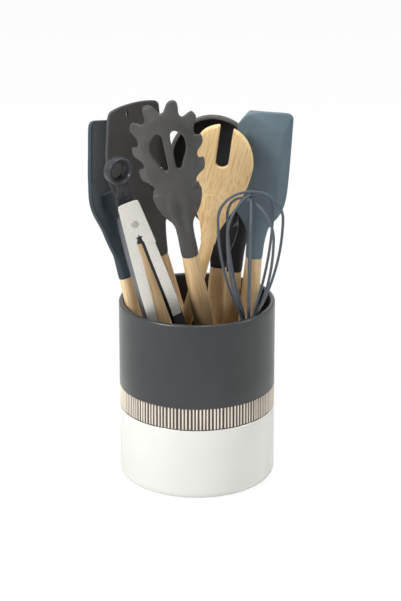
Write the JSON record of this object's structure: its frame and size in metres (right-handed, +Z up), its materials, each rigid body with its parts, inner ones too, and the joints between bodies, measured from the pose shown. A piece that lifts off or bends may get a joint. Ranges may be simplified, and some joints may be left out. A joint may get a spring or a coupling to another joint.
{
  "type": "kitchen utensil crock with utensils",
  "caption": "Cylindrical ceramic crock holding upright kitchen tools on wooden handles, with a balloon whisk and sprung tongs that open on a pin.",
  "frame": {"origin": "centre of the flat standing face under the crock", "axes": "+Z up, +X to the right in the front view, +Y away from the viewer"},
  "size_m": [0.1706, 0.1462, 0.3394],
  "materials": {
    "stoneware": "matt dark glaze above, cream carved band, white gloss foot",
    "bamboo": "oiled",
    "blue_grey_silicone": "matt",
    "charcoal_silicone": "matt",
    "steel": "brushed",
    "coated_wire": "satin",
    "dark_nylon": "satin"
  },
  "bodies": {
    "crock": {"crock_body": "stoneware"},
    "spoonula": {"spoonula_handle": "bamboo", "spoonula_head": "blue_grey_silicone"},
    "slotted_turner": {"slotted_turner_handle": "bamboo", "slotted_turner_head": "charcoal_silicone"},
    "solid_turner": {"solid_turner_handle": "bamboo", "solid_turner_head": "charcoal_silicone"},
    "pasta_fork": {"pasta_fork_handle": "bamboo", "pasta_fork_head": "charcoal_silicone"},
    "wooden_spoon": {"wooden_spoon": "bamboo"},
    "ladle": {"ladle_handle": "bamboo", "ladle_head": "charcoal_silicone"},
    "serving_spoon": {"serving_spoon_handle": "bamboo", "serving_spoon_head": "charcoal_silicone"},
    "spatula": {"spatula_handle": "bamboo", "spatula_head": "blue_grey_silicone"},
    "whisk": {"whisk_handle": "bamboo", "whisk_ferrule": "steel", "whisk_loop_1": "coated_wire", "whisk_loop_2": "coated_wire", "whisk_loop_3": "coated_wire", "whisk_loop_4": "coated_wire"},
    "tongs": {"tongs_left_arm": "steel", "tongs_left_tip": "dark_nylon", "tongs_pin": "steel", "tongs_spring": "steel"},
    "tongs_right_arm": {"tongs_right_arm": "steel", "tongs_right_tip": "dark_nylon"},
    "tongs_pull": {"tongs_pull": "dark_nylon"}
  },
  "joints": [
    {"name": "spoonula_lift", "type": "slide", "parent": "crock", "child": "spoonula", "axis": [-0.2001, 0.0488, 0.9786], "range_m": [0, 0.165]},
    {"name": "slotted_turner_lift", "type": "slide", "parent": "crock", "child": "slotted_turner", "axis": [-0.2276, -0.0621, 0.9718], "range_m": [0, 0.165]},
    {"name": "solid_turner_lift", "type": "slide", "parent": "crock", "child": "solid_turner", "axis": [-0.1801, 0.0241, 0.9833], "range_m": [0, 0.165]},
    {"name": "pasta_fork_lift", "type": "slide", "parent": "crock", "child": "pasta_fork", "axis": [-0.1557, -0.338, 0.9282], "range_m": [0, 0.165]},
    {"name": "wooden_spoon_lift", "type": "slide", "parent": "crock", "child": "wooden_spoon", "axis": [0.245, -0.093, 0.9651], "range_m": [0, 0.165]},
    {"name": "ladle_lift", "type": "slide", "parent": "crock", "child": "ladle", "axis": [0.0648, -0.0953, 0.9933], "range_m": [0, 0.165]},
    {"name": "serving_spoon_lift", "type": "slide", "parent": "crock", "child": "serving_spoon", "axis": [0.0719, -0.0482, 0.9962], "range_m": [0, 0.165]},
    {"name": "spatula_lift", "type": "slide", "parent": "crock", "child": "spatula", "axis": [0.084, -0.073, 0.9938], "range_m": [0, 0.165]},
    {"name": "whisk_lift", "type": "slide", "parent": "crock", "child": "whisk", "axis": [0.0072, -0.2238, 0.9746], "range_m": [0, 0.165]},
    {"name": "tongs_lift", "type": "slide", "parent": "crock", "child": "tongs", "axis": [-0.254, -0.1149, 0.9604], "range_m": [0, 0.165]},
    {"name": "tongs_hinge", "type": "hinge", "parent": "tongs", "child": "tongs_right_arm", "pos_m": [-0.05084, -0.03758, 0.23359], "axis": [-0.1573, 0.9846, 0.0762], "range_deg": [-0.4, 4]},
    {"name": "tongs_pull_slide", "type": "slide", "parent": "tongs", "child": "tongs_pull", "axis": [-0.2456, -0.1138, 0.9627], "range_m": [0, 0.008]}
  ]
}
